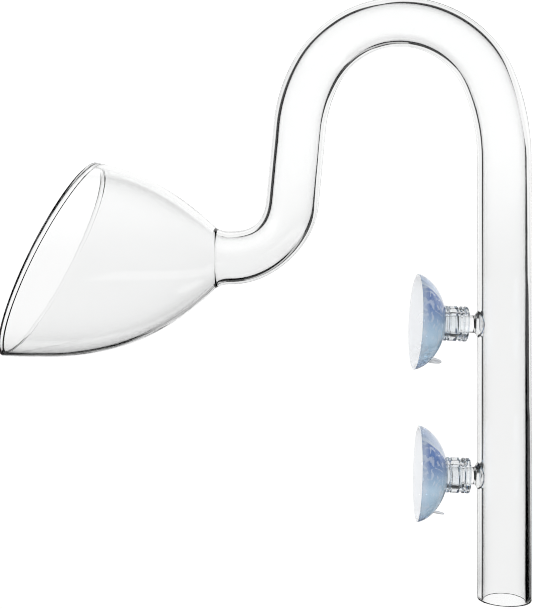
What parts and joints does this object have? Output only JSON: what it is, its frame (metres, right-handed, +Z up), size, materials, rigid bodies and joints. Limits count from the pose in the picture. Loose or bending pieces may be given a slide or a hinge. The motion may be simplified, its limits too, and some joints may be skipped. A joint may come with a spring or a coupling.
{
  "type": "aquarium filter outflow pipe",
  "caption": "Clear glass aquarium outflow pipe: a straight inlet leg, an arch over the tank's rim and a wide bell with a slanted mouth, held to the wall by soft suction cups on glass pegs.",
  "frame": {"origin": "on the tank's inner wall, midway between the axes of the two suction cups", "axes": "+Z up along the inlet leg, -X into the wall and towards the bell, Y across the pipe's plane of symmetry"},
  "size_m": [0.1693, 0.0636, 0.1936],
  "materials": {
    "clear_glass": "clear borosilicate glass, flame polished",
    "soft_vinyl": "soft moulded vinyl, translucent with a pale blue tint, glossy"
  },
  "bodies": {
    "glass_pipe": {"bent_glass_tube": "clear_glass", "outflow_bell": "clear_glass", "upper_peg": "clear_glass", "lower_peg": "clear_glass"},
    "upper_cup": {"upper_suction_cup": "soft_vinyl"},
    "lower_cup": {"lower_suction_cup": "soft_vinyl"}
  },
  "joints": [
    {"name": "upper_cup_slide", "type": "slide", "parent": "glass_pipe", "child": "upper_cup", "axis": [-1, 0, 0], "range_m": [0, 0.0095]},
    {"name": "lower_cup_slide", "type": "slide", "parent": "glass_pipe", "child": "lower_cup", "axis": [-1, 0, 0], "range_m": [0, 0.0095]}
  ]
}
